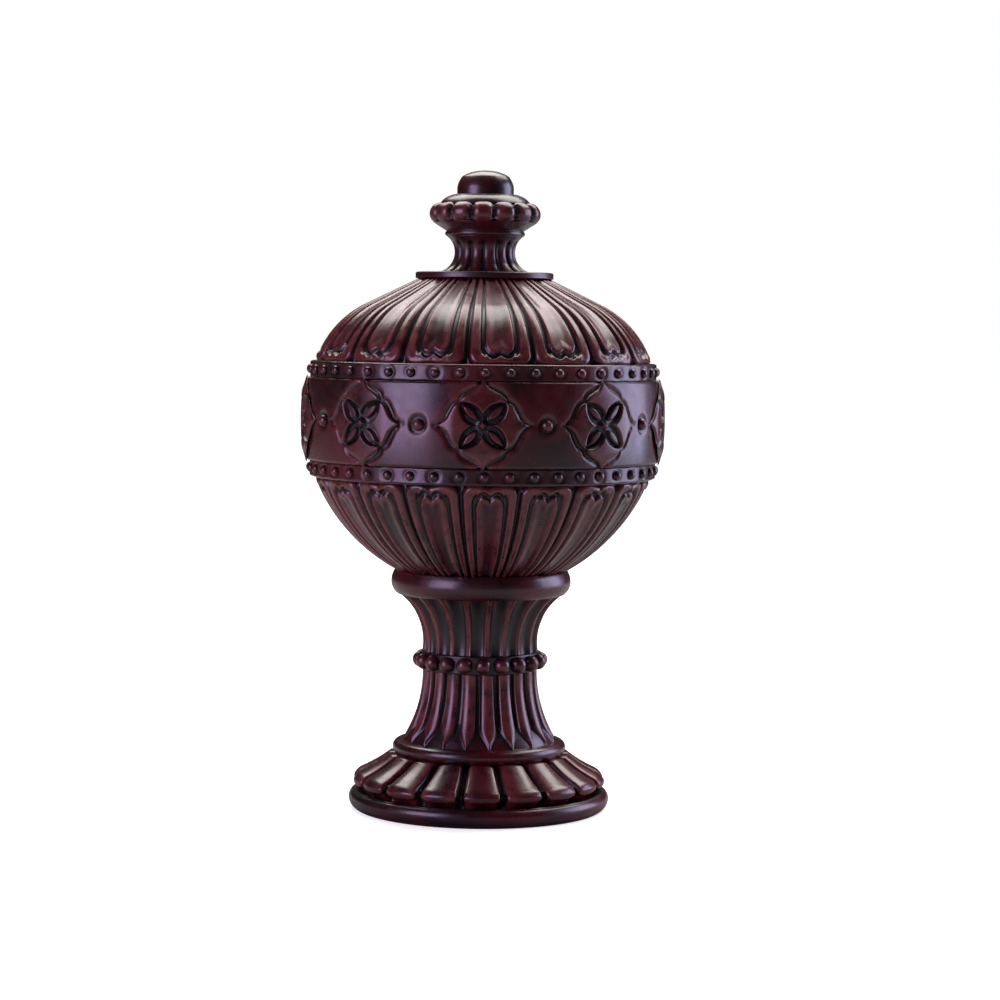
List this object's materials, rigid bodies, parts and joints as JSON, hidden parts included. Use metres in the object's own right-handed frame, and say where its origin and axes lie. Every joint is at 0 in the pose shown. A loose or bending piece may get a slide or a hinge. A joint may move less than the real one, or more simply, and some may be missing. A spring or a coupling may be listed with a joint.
{
  "type": "curtain pole finial",
  "caption": "Carved end ornament for a curtain pole: fluted stem on a gadrooned foot, petalled bowls round a rosette band, lobed knob and dome on top.",
  "frame": {"origin": "centre of the flat underside, which closes on the end of the pole", "axes": "+Z along the finial's axis, from the foot to the dome button; -Y faces the camera"},
  "size_m": [0.0724, 0.0727, 0.1268],
  "materials": {
    "lacquered_resin": "satin gloss lacquer in dark oxblood brown over cast resin, with black antiquing in the recesses",
    "brass_insert": "plain turned brass"
  },
  "bodies": {
    "root": {"finial_casting": "lacquered_resin", "threaded_insert": "brass_insert"}
  },
  "joints": []
}
